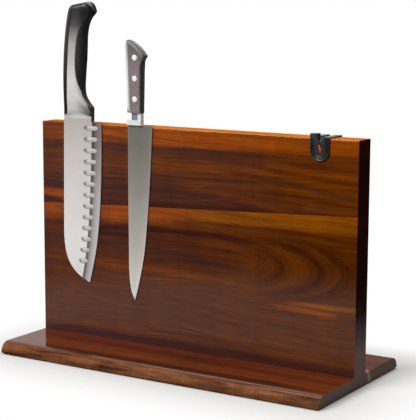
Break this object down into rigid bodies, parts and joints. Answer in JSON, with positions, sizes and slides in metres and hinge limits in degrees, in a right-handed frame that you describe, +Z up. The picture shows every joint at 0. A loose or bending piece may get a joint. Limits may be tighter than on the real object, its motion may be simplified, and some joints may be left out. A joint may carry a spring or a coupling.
{
  "type": "magnetic knife board",
  "caption": "Upright double-sided magnetic wood knife board on a flat base, with a pull-through sharpener and knives on its face.",
  "frame": {"origin": "on the surface the feet stand on, under the middle of the base", "axes": "+Z up, X along the board, -Y towards the front face that holds the knives"},
  "size_m": [0.394, 0.183, 0.387],
  "materials": {
    "board_wood": "acacia, glossy lacquer, orange sapwood band",
    "base_wood": "acacia, glossy lacquer",
    "ferrite": "sintered ferrite, matte",
    "keeper_steel": "mild steel strip",
    "dowel_wood": "beech, fluted",
    "screw_steel": "zinc plated",
    "foot_rubber": "soft, matte",
    "sharpener_plastic": "moulded, satin",
    "sharpener_bar": "ground hard alloy",
    "santoku_steel": "satin, lengthwise brushed",
    "bolster_steel": "polished",
    "handle_plastic": "moulded black",
    "grip_plastic": "soft black grip",
    "plate_steel": "satin side panel",
    "slicer_steel": "satin, lengthwise brushed",
    "scale_wood": "resin-impregnated laminated wood",
    "rivet_steel": "ground flush"
  },
  "bodies": {
    "stand": {"front_upper_stave": "board_wood", "front_lower_stave": "board_wood", "rear_upper_stave": "board_wood", "rear_lower_stave": "board_wood", "base_front_stave": "base_wood", "base_rear_stave": "base_wood", "front_upper_magnets": "ferrite", "front_lower_magnets": "ferrite", "rear_upper_magnets": "ferrite", "rear_lower_magnets": "ferrite", "upper_keeper_strip": "keeper_steel", "lower_keeper_strip": "keeper_steel", "locating_dowels": "dowel_wood", "base_screws": "screw_steel", "rubber_feet": "foot_rubber", "sharpener_front_housing": "sharpener_plastic", "sharpener_rear_housing": "sharpener_plastic", "sharpener_front_bar": "sharpener_bar", "sharpener_rear_bar": "sharpener_bar", "sharpener_screw": "screw_steel"},
    "santoku": {"santoku_blade": "santoku_steel", "santoku_bolster": "bolster_steel", "santoku_handle_core": "handle_plastic", "santoku_belly_grip": "grip_plastic", "santoku_front_plate": "plate_steel", "santoku_rear_plate": "plate_steel", "santoku_tang_pins": "screw_steel"},
    "slicer": {"slicer_blade": "slicer_steel", "slicer_bolster": "bolster_steel", "slicer_front_scale": "scale_wood", "slicer_rear_scale": "scale_wood", "slicer_rivets": "rivet_steel"}
  },
  "joints": [
    {"name": "santoku_pull_off", "type": "slide", "parent": "stand", "child": "santoku", "axis": [0, -1, 0], "range_m": [0, 0.12]},
    {"name": "slicer_pull_off", "type": "slide", "parent": "stand", "child": "slicer", "axis": [0, -1, 0], "range_m": [0, 0.12]}
  ]
}
